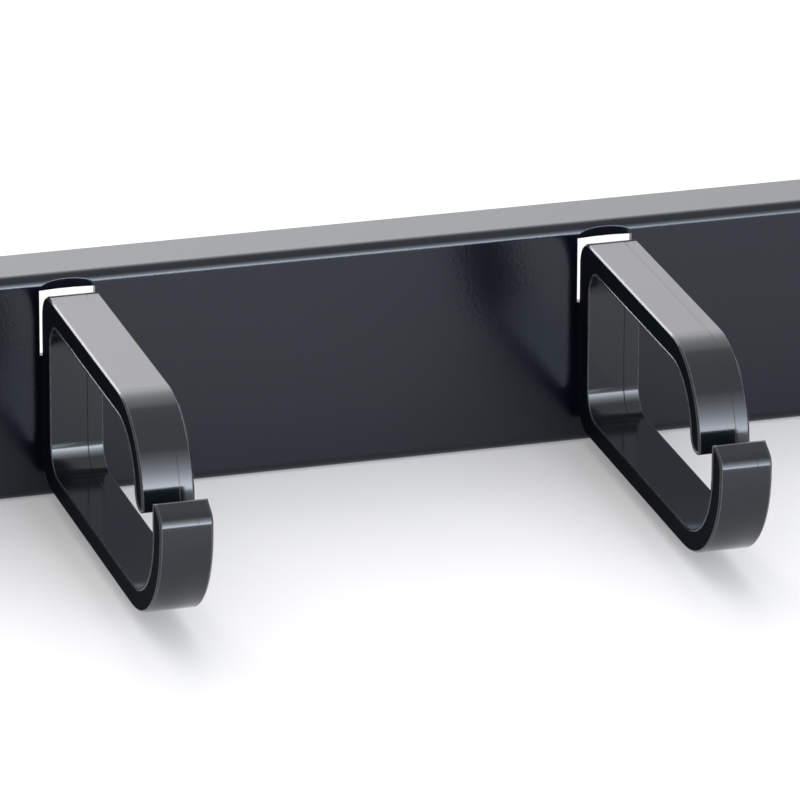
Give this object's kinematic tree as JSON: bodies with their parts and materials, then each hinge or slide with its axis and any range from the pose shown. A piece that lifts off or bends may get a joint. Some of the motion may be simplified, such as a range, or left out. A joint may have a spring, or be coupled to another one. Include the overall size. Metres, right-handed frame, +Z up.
{
  "type": "horizontal cable manager",
  "caption": "Folded steel rack panel carrying open moulded D rings that patch cables are pressed into and run through along the front of the rack.",
  "frame": {"origin": "centre of the plane the panel's ears bear on, which is the rear face of the sheet", "axes": "+X runs along the panel to the right when it is faced, +Y runs into the rack, +Z is up"},
  "size_m": [0.4826, 0.0969, 0.0436],
  "materials": {
    "powder_coated_steel": "semi-gloss black powder coat",
    "black_plastic": "satin black moulded plastic"
  },
  "bodies": {
    "root": {"panel": "powder_coated_steel", "ring_1": "black_plastic", "ring_2": "black_plastic", "ring_3": "black_plastic", "ring_4": "black_plastic", "ring_5": "black_plastic"}
  },
  "joints": []
}
